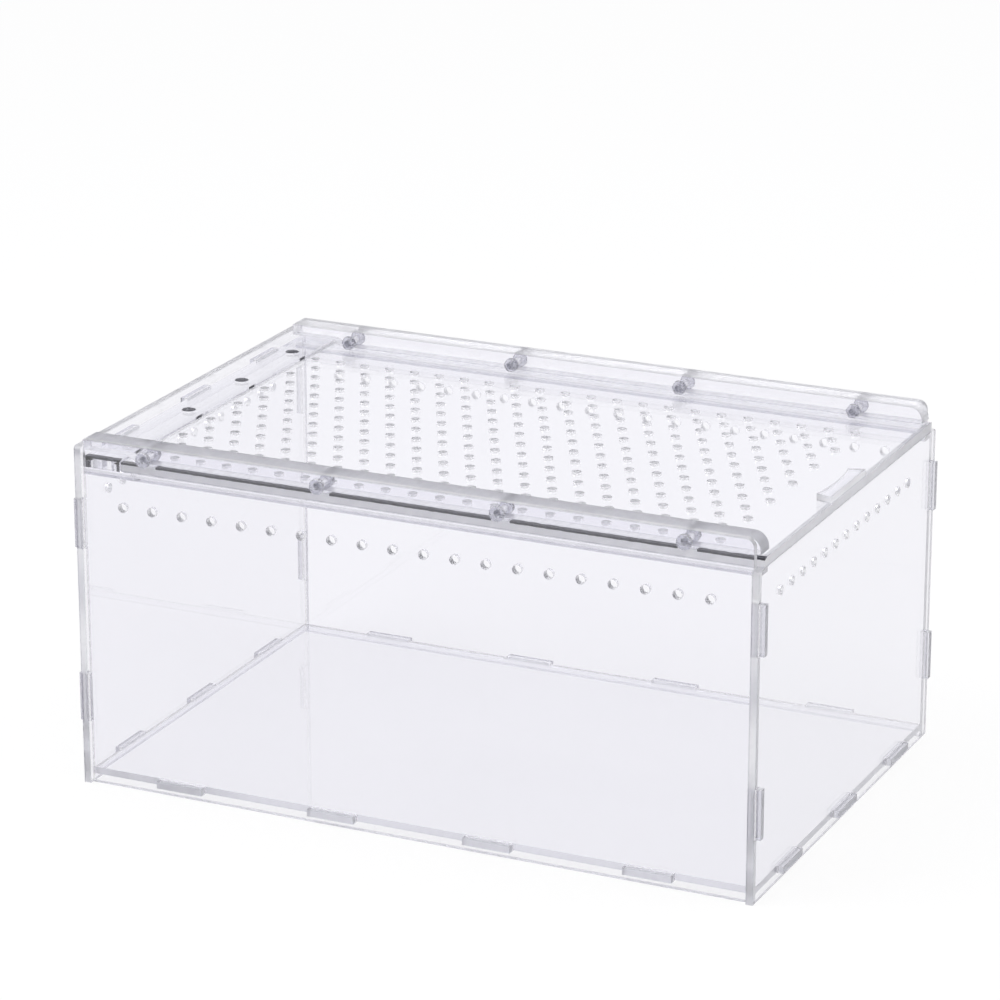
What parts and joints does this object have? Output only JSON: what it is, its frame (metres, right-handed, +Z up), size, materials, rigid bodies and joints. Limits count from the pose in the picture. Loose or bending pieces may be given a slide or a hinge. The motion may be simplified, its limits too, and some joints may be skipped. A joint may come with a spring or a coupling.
{
  "type": "acrylic reptile terrarium",
  "caption": "Clear rectangular box of slotted sheets, vented near the top, with a perforated lid that slides under two screwed rails.",
  "frame": {"origin": "middle of the underside of the case, on the surface that it stands on", "axes": "+Z up, +X towards the open end that the lid slides out of, -Y towards the front"},
  "size_m": [0.304, 0.2, 0.15],
  "materials": {
    "clear_acrylic": "polished clear cast sheet",
    "lid_acrylic": "polished clear cast sheet, drilled",
    "clear_screw_plastic": "moulded translucent plastic",
    "magnet_plating": "dark plated skin of a small round magnet"
  },
  "bodies": {
    "case": {"floor_panel": "clear_acrylic", "front_panel": "clear_acrylic", "back_panel": "clear_acrylic", "left_wall": "clear_acrylic", "right_wall": "clear_acrylic", "front_rail": "clear_acrylic", "back_rail": "clear_acrylic", "front_ledge": "clear_acrylic", "back_ledge": "clear_acrylic", "end_strip": "clear_acrylic", "end_strip_magnets": "magnet_plating", "front_rail_screws": "clear_screw_plastic", "front_rail_nuts": "clear_screw_plastic", "back_rail_screws": "clear_screw_plastic", "back_rail_nuts": "clear_screw_plastic"},
    "sliding_lid": {"lid": "lid_acrylic", "lid_grip": "lid_acrylic"}
  },
  "joints": [
    {"name": "lid_slide", "type": "slide", "parent": "case", "child": "sliding_lid", "axis": [1, 0, 0], "range_m": [0, 0.265]}
  ]
}
